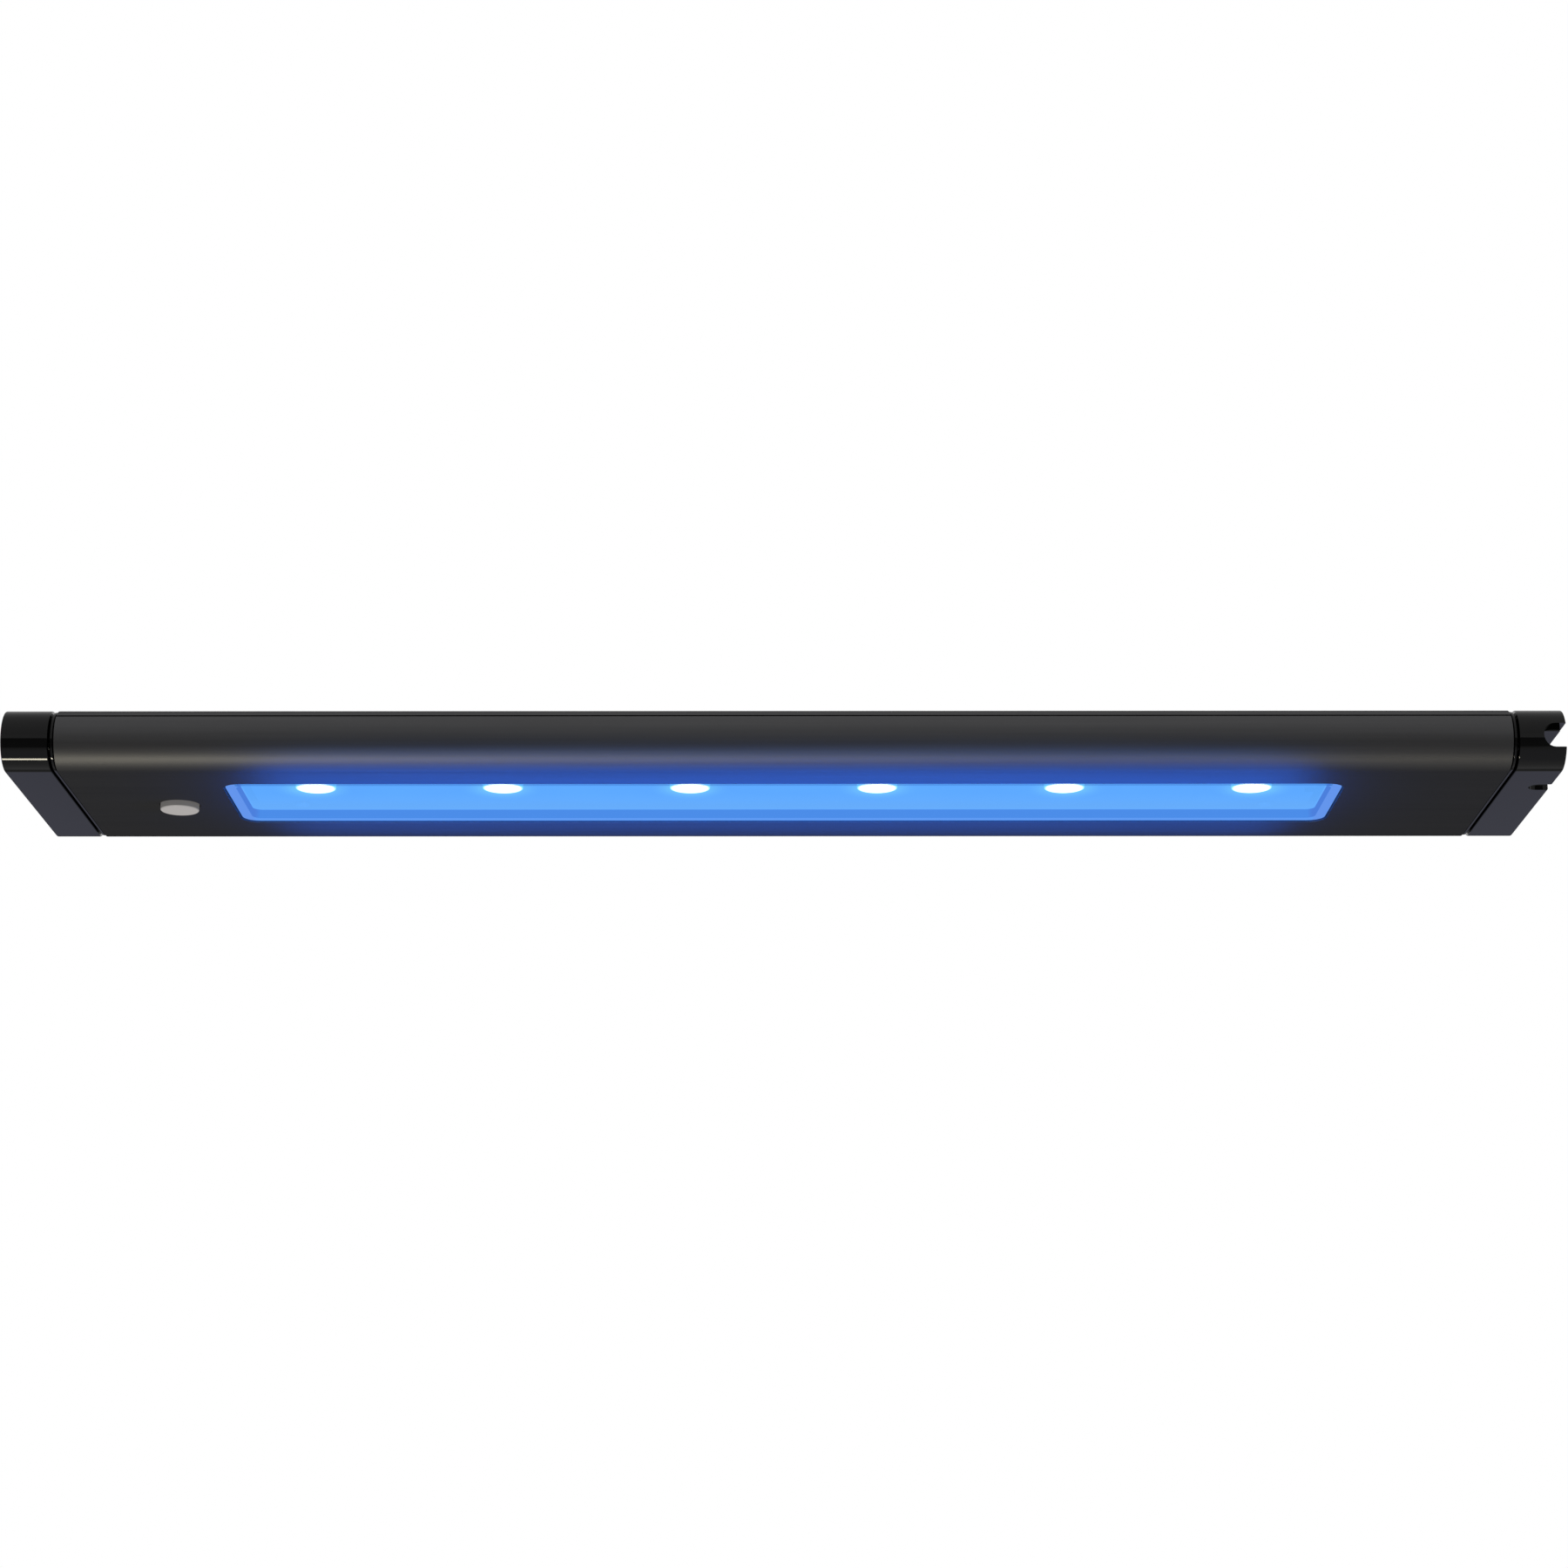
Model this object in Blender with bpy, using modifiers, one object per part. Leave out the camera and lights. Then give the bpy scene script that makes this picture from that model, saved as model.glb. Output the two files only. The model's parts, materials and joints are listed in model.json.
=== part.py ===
"""Slim LED aquarium light: a black bar with a lit window underneath, a press button and a cable outlet.

The light rests by its two end caps on the rims of a tank. Everything is in metres with +Z up. The origin is
the centre of the plane that rests on the rims. +X runs to the end with the power inlet, +Y to the back.
"""
import math

import bmesh
import bpy

MM = 0.001
CUT_MARGIN = 1.0 * MM  # how far a cutter stands out of what it cuts
GAP = 0.3 * MM  # clearance between pieces that touch on the real light
RIGHT_ANGLE = math.pi / 2

# Outer shape: a flat bar whose two long edges are full half rounds
LENGTH = 306.0 * MM
HEIGHT = 12.3 * MM
EDGE_RADIUS = HEIGHT / 2
FLAT_HALF_WIDTH = 24.75 * MM
EDGE_STEPS = 24  # facets around each half-round edge

# Along the bar: an end cap, an open groove, a trim ring and the metal body
CAP_LENGTH = 9.25 * MM
CAP_GROOVE = 0.3 * MM
CAP_ROUNDING = 0.25 * MM
RING_LENGTH = 0.75 * MM
RING_GAP = 0.15 * MM
RING_INSET = 0.25 * MM
RING_CHAMFER = 0.2 * MM
END = LENGTH / 2
CAP_START = END - CAP_LENGTH
RING_END = CAP_START - CAP_GROOVE
RING_START = RING_END - RING_LENGTH
BODY_END = RING_START - RING_GAP

# Walls of the housing, and the split between it and the top plate
WALL = 2.05 * MM
HOUSING_TOP = 10.1 * MM
LID_BOTTOM = HOUSING_TOP + GAP
SIDE_WALL_INNER = 27.3 * MM
BOSS_INNER = 23.7 * MM
BOSS_TOP = 7.4 * MM
END_OPENING_HALF = 23.2 * MM
END_OPENING = (1.9 * MM, 10.4 * MM)

# Ribs, cooling grooves and heat block of the top plate
RIB = (25.6 * MM, SIDE_WALL_INNER - GAP)
RIB_DEPTH = 1.3 * MM
GROOVE_FIRST = 23.0 * MM
GROOVE_PITCH = 2.2 * MM
GROOVE_WIDTH = 1.0 * MM
GROOVE_DEPTH = 0.6 * MM
GROOVE_SLOPE = 0.2 * MM
GROOVES_PER_SIDE = 7

# Window in the underside, its lens and the light engine above it
WINDOW_Y = -1.0 * MM  # the window sits a little forward of the middle
WINDOW_HALF = (111.95 * MM, 15.0 * MM)
WINDOW_CORNER = 3.75 * MM
LENS_CLEARANCE = 0.35 * MM
LENS_BASE = 0.3 * MM
LENS_PANE = (2.3 * MM, 3.1 * MM)
LENS_RIM = 2.1 * MM  # width of the flat rim around the recess
LENS_RECESS_CORNER = 1.9 * MM
LENS_RECESS_CHAMFER = 0.2 * MM
LENS_FLANGE = 1.6 * MM
GASKET_WIDTH = 1.2 * MM
GASKET_PROUD = 0.2 * MM
LED_COUNT = 6
LED_PITCH = 38.1 * MM
LED_RADIUS = 4.1 * MM
LED_BASE = LENS_PANE[1] + GAP
LED_DOME = 0.1 * MM
LED_DOME_STEPS = 5
LED_TOP = 4.4 * MM
LED_BOARD_HALF = (109.0 * MM, 17.5 * MM)
LED_BOARD = (LED_TOP + GAP, 5.9 * MM)
PAD_HALF = (108.0 * MM, 13.5 * MM)
PAD = (LED_BOARD[1] + GAP, 6.6 * MM)
BLOCK_HALF = (109.0 * MM, 17.8 * MM)
BLOCK_BOTTOM = PAD[1] + GAP
MILLED_DEPTH = 0.2 * MM  # how far the milled ends of the block go into the plate
MILLED_MARGIN = 1.0 * MM

# Press button and the switch that it works
BUTTON_X = -122.75 * MM
BUTTON_RADIUS = 3.9 * MM
BUTTON_PROUD = 1.2 * MM
BUTTON_CHAMFER = 0.2 * MM
BUTTON_CLEARANCE = 0.25 * MM
BUTTON_FLANGE = (4.9 * MM, WALL + GAP, 3.0 * MM)
BUTTON_STEM = (1.5 * MM, 4.2 * MM)
SEAL_RADII = (1.9 * MM, 5.3 * MM, 6.6 * MM)
SEAL_HEIGHTS = (WALL + GAP, 3.9 * MM, 4.5 * MM)
PLUNGER = (1.4 * MM, BUTTON_STEM[1] + GAP, 6.2 * MM)
SWITCH_SIZE = 6.0 * MM
SWITCH = (5.2 * MM, 7.4 * MM)
SWITCH_BORE = (PLUNGER[0] + GAP, 6.95 * MM)

# Circuit boards hung under the top plate at the two ends
BOARD_LIMITS_X = (115.5 * MM, 140.5 * MM)
BOARD_HALF_WIDTH = 20.0 * MM
BOARD = (SWITCH[1] + GAP, 8.9 * MM)
COMPONENT_TOP = BOARD[0] - GAP
STANDOFF_RADIUS = 2.4 * MM
BOARD_SCREW_Y = 16.5 * MM
BOARD_SCREW_X = 137.5 * MM

# Power inlet in the right end cap, and the space for its lead
OUTLET_Y = -13.3 * MM
OUTLET_HEIGHT = 4.75 * MM
POCKET_X = 148.9 * MM
POCKET_Y = (-28.4 * MM, -9.4 * MM)
POCKET_Z = (2.1 * MM, 7.36 * MM)
POCKET_STEP = (152.3 * MM, 8.35 * MM)  # where the ceiling steps up at the end face, and how high
FRONT_NOTCH = (148.5 * MM, 5.97 * MM, 2.39 * MM)  # inner end in X, height of its centre, half width
BOTTOM_NOTCH = (148.65 * MM, OUTLET_Y, 2.07 * MM)  # inner end in X, its centre in Y, half width
NOTCH_OVERLAP = (0.4 * MM, 0.5 * MM)  # how far the front and the bottom notch run into the pocket
LEFT_CAVITY_END = 150.8 * MM
RIGHT_CAVITY_END = 146.9 * MM
INLET_BODY_X = (141.0 * MM, 145.9 * MM)
INLET_HALF = (3.0 * MM, 2.1 * MM)
INLET_BARREL = (1.6 * MM, 148.7 * MM)
INLET_BORE = 1.1 * MM
INLET_TAIL_BORE = 0.7 * MM
INLET_PIN = (0.35 * MM, 141.6 * MM, 148.3 * MM)
INLET_SEAL = (1.9 * MM, 2.5 * MM, 146.2 * MM, 146.6 * MM)

# Screws: head radius, head height, shank radius, shank length
CAP_SCREW = (1.8 * MM, 1.3 * MM, 1.0 * MM, 16.0 * MM)
CAP_SCREW_YZ = (26.0 * MM, 4.9 * MM)
CAP_SCREW_SEAT = 151.2 * MM
CAP_SCREW_SEAT_DEEP = 147.2 * MM
LED_SCREW = (1.6 * MM, 0.8 * MM, 0.9 * MM, 4.3 * MM)
LED_SCREW_XY = (100.0 * MM, 15.6 * MM)
BOARD_SCREW = (1.6 * MM, 0.8 * MM, 0.9 * MM, 3.2 * MM)
SCREW_CLEARANCE = 0.3 * MM
SCREW_TIP = 0.5 * MM
SCREW_SLOT = 0.4 * MM  # width of the crosshead's slots
CAP_DRILL = 30.0 * MM  # length of the drill for an end cap's screws
BOARD_DRILL = 4.0 * MM  # length of the drill for a board's screws

# Components under the end boards: (X, Y), then (X size, Y size, height) or radius and height
CONTROL_CHIP = ((-133.0 * MM, -8.0 * MM), (7.0 * MM, 7.0 * MM, 1.0 * MM))
DRIVER_CHIP = ((130.0 * MM, 10.0 * MM), (5.0 * MM, 4.0 * MM, 1.2 * MM))
INDUCTOR = ((121.5 * MM, 10.0 * MM), (8.0 * MM, 8.0 * MM, 4.0 * MM))
INDUCTOR_ROUNDING = 0.8 * MM
CAPACITORS_XY = ((121.0 * MM, -8.0 * MM), (128.0 * MM, -8.0 * MM))
CAPACITOR = (2.5 * MM, 4.2 * MM)

# Leads, in millimetres: a route is (X, Z), and the switch's is (X, Y beside the lead's own line, Z)
WIRE_RADIUS = 0.45 * MM
LED_LEAD_ROUTE = ((117.5, 6.8), (115.0, 6.0), (112.5, 4.6), (110.8, 4.0), (106.5, 4.0))
LED_LEADS_Y = (-3.0, 3.0)
SWITCH_LEAD_ROUTE = ((117.5, 3.5, 6.8), (114.5, 2.7, 6.4), (111.0, 0.6, 6.1), (107.0, 0.0, 6.0))
SWITCH_LEADS_Y = (-20.0, -21.5)
INLET_LEAD_ROUTE = ((140.5, 4.75), (138.5, 5.1), (136.0, 6.2), (133.5, 6.9))
INLET_LEADS_Y = (-11.5, -13.9)

parts = None
cutters = None
frame_empty = None
button_empty = None


# ---------------------------------------------------------------- materials

def material(name, colour, roughness, metallic=0.0, glow=0.0, alpha=1.0):
    """A Principled material; the colour is linear red, green and blue."""
    result = bpy.data.materials.get(name)
    if result:
        return result
    result = bpy.data.materials.new(name)
    result.use_nodes = True
    shader = result.node_tree.nodes["Principled BSDF"]
    shader.inputs["Base Color"].default_value = (*colour, 1.0)
    shader.inputs["Roughness"].default_value = roughness
    shader.inputs["Metallic"].default_value = metallic
    shader.inputs["Emission Color"].default_value = (*colour, 1.0)
    shader.inputs["Emission Strength"].default_value = glow
    shader.inputs["Alpha"].default_value = alpha
    result.diffuse_color = (*colour, 1.0)
    return result


def anodised_black():
    return material("anodised_black", (0.045, 0.045, 0.048), 0.42, 0.6)


def cap_black():
    return material("gloss_black_plastic", (0.018, 0.018, 0.020), 0.12)


def blue_lens():
    return material("blue_lit_lens", (0.13, 0.40, 1.0), 0.2, glow=0.8, alpha=0.6)


def led_white():
    return material("led_phosphor", (0.9, 0.97, 1.0), 0.3, glow=3.0)


def board_white():
    return material("white_board", (0.75, 0.78, 0.80), 0.4)


def board_green():
    return material("green_board", (0.02, 0.16, 0.06), 0.35)


def chip_black():
    return material("chip_black", (0.03, 0.03, 0.03), 0.5)


def steel():
    return material("screw_steel", (0.55, 0.56, 0.58), 0.3, 1.0)


def button_grey():
    return material("frosted_button", (0.40, 0.40, 0.43), 0.45)


def silicone():
    return material("seal_silicone", (0.10, 0.10, 0.11), 0.6)


def pad_grey():
    return material("thermal_pad", (0.45, 0.50, 0.58), 0.8)


def capacitor_silver():
    return material("capacitor_can", (0.70, 0.71, 0.73), 0.25, 1.0)


def contact_metal():
    return material("contact_metal", (0.80, 0.66, 0.35), 0.25, 1.0)


def wire_skin(colour_name):
    colours = {"red": (0.45, 0.02, 0.02), "black": (0.02, 0.02, 0.02), "white": (0.7, 0.7, 0.7)}
    return material("wire_" + colour_name, colours[colour_name], 0.45)


# ---------------------------------------------------------------- building tools

def mesh_object(name, mesh, paint=None, owner=None):
    """Put a mesh in the scene: a part if it has a material, otherwise a hidden cutter."""
    shape = bpy.data.objects.new(name, mesh)
    if paint:
        mesh.materials.clear()
        mesh.materials.append(paint)
        parts.objects.link(shape)
        shape.parent = owner or frame_empty
    else:
        cutters.objects.link(shape)
        shape.hide_render = True
        shape.display_type = "WIRE"
    return shape


def place(shape, location, rotation=(0.0, 0.0, 0.0)):
    """Set a world place, also under a parent that stands off the origin."""
    offset = shape.parent.location if shape.parent else (0.0, 0.0, 0.0)
    shape.location = [value - shift for value, shift in zip(location, offset)]
    shape.rotation_euler = rotation
    return shape


def box(name, low, high, paint=None):
    """A box between two corners."""
    mesh = bpy.data.meshes.new(name)
    build = bmesh.new()
    bmesh.ops.create_cube(build, size=1.0)
    bmesh.ops.scale(build, vec=[b - a for a, b in zip(low, high)], verts=build.verts)
    build.to_mesh(mesh)
    build.free()
    return place(mesh_object(name, mesh, paint), [(a + b) / 2 for a, b in zip(low, high)])


def turned_to(along):
    """Rotation that lays local Z along a named world axis."""
    return {"X": (0.0, RIGHT_ANGLE, 0.0), "-X": (0.0, -RIGHT_ANGLE, 0.0),
            "Z": (0.0, 0.0, 0.0), "-Z": (2 * RIGHT_ANGLE, 0.0, 0.0)}[along]


def cylinder(name, radius, length, centre, along="Z", sides=20, paint=None, owner=None):
    """A round bar about its own middle."""
    mesh = bpy.data.meshes.new(name)
    build = bmesh.new()
    bmesh.ops.create_cone(
        build, cap_ends=True, segments=sides, radius1=radius, radius2=radius, depth=length)
    build.to_mesh(mesh)
    build.free()
    mesh.shade_smooth()
    mesh.set_sharp_from_angle(angle=math.radians(40))
    return place(mesh_object(name, mesh, paint, owner), centre, turned_to(along))


def prism(name, outline, low, high, along="Z", paint=None):
    """A flat outline pushed along an axis: (X, Y) points along Z, (Y, Z) along X, (X, Z) along Y."""
    mesh = bpy.data.meshes.new(name)
    build = bmesh.new()
    half = (high - low) / 2
    corners = [build.verts.new((u, v, -half)) for u, v in outline]
    pushed = bmesh.ops.extrude_face_region(build, geom=[build.faces.new(corners)])["geom"]
    moved = [item for item in pushed if isinstance(item, bmesh.types.BMVert)]
    bmesh.ops.translate(build, vec=(0.0, 0.0, 2 * half), verts=moved)
    bmesh.ops.recalc_face_normals(build, faces=build.faces)
    build.to_mesh(mesh)
    build.free()
    mesh.shade_smooth()
    mesh.set_sharp_from_angle(angle=math.radians(30))
    middle = (low + high) / 2
    location, rotation = {
        "X": ((middle, 0.0, 0.0), (RIGHT_ANGLE, 0.0, RIGHT_ANGLE)),
        "Y": ((0.0, middle, 0.0), (RIGHT_ANGLE, 0.0, 0.0)),
        "Z": ((0.0, 0.0, middle), (0.0, 0.0, 0.0)),
    }[along]
    return place(mesh_object(name, mesh, paint), location, rotation)


def turned(name, profile, centre, along="Z", steps=24, closed=False, paint=None, owner=None):
    """A profile of (radius, height) points spun about its axis with a Screw modifier."""
    mesh = bpy.data.meshes.new(name)
    build = bmesh.new()
    points = [build.verts.new((radius, 0.0, height)) for radius, height in profile]
    for start, end in zip(points, points[1:]):
        build.edges.new((start, end))
    if closed:
        build.edges.new((points[-1], points[0]))
    build.to_mesh(mesh)
    build.free()
    shape = place(mesh_object(name, mesh, paint, owner), centre, turned_to(along))
    spin = shape.modifiers.new("spin", "SCREW")
    spin.steps = steps
    spin.render_steps = steps
    spin.use_merge_vertices = True
    spin.merge_threshold = 1e-6
    spin.use_normal_calculate = False
    return shape


def combine(shape, tool, operation="DIFFERENCE"):
    """Cut a tool out of a shape, or join it on; the tool stays as a hidden helper."""
    change = shape.modifiers.new(tool.name, "BOOLEAN")
    change.operation = operation
    change.solver = "EXACT"
    change.object = tool


def round_edges(shape, width, segments=1):
    """Round or chamfer the sharp edges that the shape has so far."""
    soften = shape.modifiers.new("edges", "BEVEL")
    soften.width = width
    soften.segments = segments
    soften.limit_method = "ANGLE"
    soften.angle_limit = math.radians(50)


# ---------------------------------------------------------------- outlines

def arc(centre, radius, start, end, steps):
    """Points on a circle from one angle to another, in degrees."""
    angles = [math.radians(start + (end - start) * i / steps) for i in range(steps + 1)]
    return [(centre[0] + radius * math.cos(a), centre[1] + radius * math.sin(a)) for a in angles]


def edge_arc(low, high, inset=0.0):
    """The rear half-round edge between two heights, as (Y, Z) points going up."""
    radius = EDGE_RADIUS - inset
    sines = [max(-1.0, min(1.0, (z - EDGE_RADIUS) / radius)) for z in (low, high)]
    start, end = [math.degrees(math.asin(sine)) for sine in sines]
    steps = max(3, round(EDGE_STEPS * (end - start) / 180))
    return arc((FLAT_HALF_WIDTH, EDGE_RADIUS), radius, start, end, steps)


def both_sides(half):
    """Complete a (Y, Z) outline from its rear half."""
    return half + [(-y, z) for y, z in reversed(half)]


def bar_outline(inset=0.0):
    """The bar's whole cross-section."""
    return both_sides(edge_arc(inset, HEIGHT - inset, inset))


def rounded_rectangle(half_x, half_y, radius, centre_y=0.0, steps=6):
    """A rectangle with round corners, centred on the Y axis."""
    points = []
    for sx, sy, turn in ((1, 1, 0), (-1, 1, 90), (-1, -1, 180), (1, -1, 270)):
        corner = (sx * (half_x - radius), centre_y + sy * (half_y - radius))
        points += arc(corner, radius, turn, turn + 90, steps)
    return points


def slot_outline(inner_end, centre, half_width):
    """A slot along X with a round inner end, run out past the end of the bar."""
    round_end = arc((inner_end + half_width, centre), half_width, 90, 270, 12)
    outer = END + CUT_MARGIN
    return round_end + [(outer, centre - half_width), (outer, centre + half_width)]


def window_outline(grow):
    """The window's outline, grown or shrunk all round."""
    return rounded_rectangle(WINDOW_HALF[0] + grow, WINDOW_HALF[1] + grow, WINDOW_CORNER + grow, WINDOW_Y)


# ---------------------------------------------------------------- shells

def cut_cap_screw_holes(shape, centre_x, length):
    """Clearance holes for the end caps' screws, front and rear."""
    radius = CAP_SCREW[2] + SCREW_CLEARANCE
    for row, y in (("front", -CAP_SCREW_YZ[0]), ("rear", CAP_SCREW_YZ[0])):
        name = "%s_screw_hole_%s" % (shape.name, row)
        combine(shape, cylinder(name, radius, length, (centre_x, y, CAP_SCREW_YZ[1]), "X", 16))


def lower_housing():
    """Extruded metal trough with the window and the button hole in its floor."""
    half = edge_arc(0.0, HOUSING_TOP) + [
        (SIDE_WALL_INNER, HOUSING_TOP), (SIDE_WALL_INNER, BOSS_TOP),
        (BOSS_INNER, BOSS_TOP), (BOSS_INNER, WALL)]
    shape = prism("lower_housing", both_sides(half), -BODY_END, BODY_END, "X", anodised_black())
    combine(shape, prism("window_cut", window_outline(0.0), -WALL, 2 * WALL))
    hole = BUTTON_RADIUS + BUTTON_CLEARANCE
    combine(shape, cylinder("button_cut", hole, 4 * WALL, (BUTTON_X, 0.0, 0.0), sides=48))
    cut_cap_screw_holes(shape, 0.0, LENGTH)
    return shape


def top_plate():
    """Grooved lid of the extrusion, with the block that takes heat from the LED board."""
    half = [(BLOCK_HALF[1], BLOCK_BOTTOM), (BLOCK_HALF[1], LID_BOTTOM),
            (RIB[0], LID_BOTTOM), (RIB[0], LID_BOTTOM - RIB_DEPTH),
            (RIB[1], LID_BOTTOM - RIB_DEPTH), (RIB[1], LID_BOTTOM)]
    half += edge_arc(LID_BOTTOM, HEIGHT)
    for i in range(GROOVES_PER_SIDE):
        outer = GROOVE_FIRST - i * GROOVE_PITCH
        inner = outer - GROOVE_WIDTH
        floor = HEIGHT - GROOVE_DEPTH
        half += [(outer, HEIGHT), (outer - GROOVE_SLOPE, floor)]
        half += [(inner + GROOVE_SLOPE, floor), (inner, HEIGHT)]
    shape = prism("top_plate", both_sides(half), -BODY_END, BODY_END, "X", anodised_black())
    milled = LID_BOTTOM + MILLED_DEPTH
    reach = BLOCK_HALF[1] + MILLED_MARGIN
    for side in (-1, 1):
        near, far = sorted((side * BLOCK_HALF[0], side * END))
        low = (near, -reach, BLOCK_BOTTOM - GAP)
        combine(shape, box("block_end_%s" % ("left" if side < 0 else "right"), low, (far, reach, milled)))
    for i, (x, y) in enumerate(board_screw_places()):
        low = BOARD[1] + GAP
        height = milled + GAP - low
        centre = (x, y, low + height / 2)
        standoff = cylinder("standoff_%d" % (i + 1), STANDOFF_RADIUS, height, centre, sides=16)
        combine(shape, standoff, "UNION")
    places = [(x, y, LED_SCREW, LED_BOARD[0]) for x, y in led_screw_places()]
    places += [(x, y, BOARD_SCREW, BOARD[0]) for x, y in board_screw_places()]
    for i, (x, y, size, seat) in enumerate(places):
        top = seat + size[3]
        radius = size[2] + SCREW_CLEARANCE
        length = top - seat + GAP
        centre = (x, y, seat + length / 2)
        combine(shape, cylinder("plate_screw_hole_%d" % (i + 1), radius, length, centre, sides=12))
    return shape


def end_cap(name, side, cavity_end):
    """Moulded cap with a hollow towards the body and two screw holes."""
    low, high = sorted((side * CAP_START, side * END))
    shape = prism(name, bar_outline(), low, high, "X", cap_black())
    round_edges(shape, CAP_ROUNDING, 2)
    x_low, x_high = sorted((side * (CAP_START - CUT_MARGIN), side * cavity_end))
    corner_low = (x_low, -END_OPENING_HALF, END_OPENING[0])
    corner_high = (x_high, END_OPENING_HALF, END_OPENING[1])
    combine(shape, box(name + "_hollow", corner_low, corner_high))
    cut_cap_screw_holes(shape, side * END, CAP_DRILL)
    return shape


def sink_screw_head(shape, side, y, seat):
    """Counterbore for a screw head, from its seat out through the end face."""
    name = "%s_head_%s" % (shape.name, "front" if y < 0 else "rear")
    length = END - seat + CUT_MARGIN
    centre = (side * (seat + length / 2), y, CAP_SCREW_YZ[1])
    combine(shape, cylinder(name, CAP_SCREW[0] + SCREW_CLEARANCE, length, centre, "X", 20))


def left_end_cap():
    """Plain cap at the button's end."""
    shape = end_cap("left_end_cap", -1, LEFT_CAVITY_END)
    for y in (-CAP_SCREW_YZ[0], CAP_SCREW_YZ[0]):
        sink_screw_head(shape, -1, y, CAP_SCREW_SEAT)
    return shape


def right_end_cap():
    """Cap with the power inlet's hole and a pocket that lets the lead out forwards, down or endways."""
    shape = end_cap("right_end_cap", 1, RIGHT_CAVITY_END)
    sink_screw_head(shape, 1, CAP_SCREW_YZ[0], CAP_SCREW_SEAT)
    step_x, step_z = POCKET_STEP
    outer = END + CUT_MARGIN
    pocket = [(POCKET_X, POCKET_Z[0]), (outer, POCKET_Z[0]), (outer, step_z),
              (step_x, step_z), (step_x, POCKET_Z[1]), (POCKET_X, POCKET_Z[1])]
    combine(shape, prism("cable_pocket_cut", pocket, *POCKET_Y, "Y"))
    front_face = -FLAT_HALF_WIDTH - EDGE_RADIUS
    front_to = POCKET_Y[0] + NOTCH_OVERLAP[0]
    front = slot_outline(*FRONT_NOTCH)
    combine(shape, prism("front_notch_cut", front, front_face - CUT_MARGIN, front_to, "Y"))
    bottom_to = POCKET_Z[0] + NOTCH_OVERLAP[1]
    combine(shape, prism("bottom_notch_cut", slot_outline(*BOTTOM_NOTCH), -CUT_MARGIN, bottom_to))
    radius = CAP_SCREW[0] + SCREW_CLEARANCE
    depth = 2 * (POCKET_X - CAP_SCREW_SEAT_DEEP)
    centre = (CAP_SCREW_SEAT_DEEP + depth / 2, -CAP_SCREW_YZ[0], CAP_SCREW_YZ[1])
    combine(shape, cylinder("right_end_cap_head_front", radius, depth, centre, "X", 20))
    hole_centre = (POCKET_X - WALL / 2, OUTLET_Y, OUTLET_HEIGHT)
    combine(shape, cylinder("inlet_hole_cut", INLET_BARREL[0] + GAP, 3 * WALL, hole_centre, "X"))
    return shape


def trim_ring(name, side):
    """Thin chamfered frame between the body and an end cap."""
    low, high = sorted((side * RING_START, side * RING_END))
    shape = prism(name, bar_outline(RING_INSET), low, high, "X", cap_black())
    round_edges(shape, RING_CHAMFER)
    corner_low = (low - CUT_MARGIN, -END_OPENING_HALF, END_OPENING[0])
    corner_high = (high + CUT_MARGIN, END_OPENING_HALF, END_OPENING[1])
    combine(shape, box(name + "_opening", corner_low, corner_high))
    cut_cap_screw_holes(shape, side * END, CAP_DRILL)
    return shape


# ---------------------------------------------------------------- window and light engine

def window_lens():
    """Clear lens with a shallow recess, and a flange that stops it inside the housing floor."""
    rim = window_outline(-LENS_CLEARANCE)
    shape = prism("window_lens", rim, LENS_BASE, WALL + 1.5 * GAP, "Z", blue_lens())
    flange = window_outline(LENS_FLANGE - LENS_CLEARANCE)
    combine(shape, prism("lens_flange", flange, WALL + GAP, LENS_PANE[1]), "UNION")
    half_x, half_y = [half - LENS_CLEARANCE - LENS_RIM for half in WINDOW_HALF]
    outline = rounded_rectangle(half_x, half_y, LENS_RECESS_CORNER, WINDOW_Y)
    recess = prism("lens_recess", outline, -CUT_MARGIN, LENS_PANE[0])
    round_edges(recess, LENS_RECESS_CHAMFER)
    combine(shape, recess)
    return shape


def lens_gasket():
    """Silicone frame around the lens flange."""
    inner = LENS_FLANGE - LENS_CLEARANCE + GAP
    low = WALL + GAP
    high = LENS_PANE[1] + GASKET_PROUD
    shape = prism("lens_gasket", window_outline(inner + GASKET_WIDTH), low, high, "Z", silicone())
    combine(shape, prism("gasket_opening", window_outline(inner), low - CUT_MARGIN, high + CUT_MARGIN))
    return shape


def led_screw_places():
    """Screws at the LED board's corners, out of sight of the window."""
    return [(sx * LED_SCREW_XY[0], sy * LED_SCREW_XY[1]) for sx in (-1, 1) for sy in (-1, 1)]


def led_board():
    """White-faced metal-core board."""
    low = (-LED_BOARD_HALF[0], -LED_BOARD_HALF[1], LED_BOARD[0])
    shape = box("led_board", low, (*LED_BOARD_HALF, LED_BOARD[1]), board_white())
    for i, (x, y) in enumerate(led_screw_places()):
        radius = LED_SCREW[2] + SCREW_CLEARANCE
        centre = (x, y, sum(LED_BOARD) / 2)
        combine(shape, cylinder("led_board_hole_%d" % (i + 1), radius, BOARD_DRILL, centre, sides=12))
    return shape


def led_emitters():
    """A row of round emitters with shallow domes that face down."""
    profile = [(0.0, LED_TOP), (LED_RADIUS, LED_TOP)]
    for i in range(LED_DOME_STEPS, -1, -1):
        turn = RIGHT_ANGLE * i / LED_DOME_STEPS
        profile.append((LED_RADIUS * math.sin(turn), LED_BASE + LED_DOME * (1 - math.cos(turn))))
    for i in range(LED_COUNT):
        x = (i - (LED_COUNT - 1) / 2) * LED_PITCH
        turned("led_emitter_%d" % (i + 1), profile, (x, 0.0, 0.0), steps=20, paint=led_white())


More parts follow.
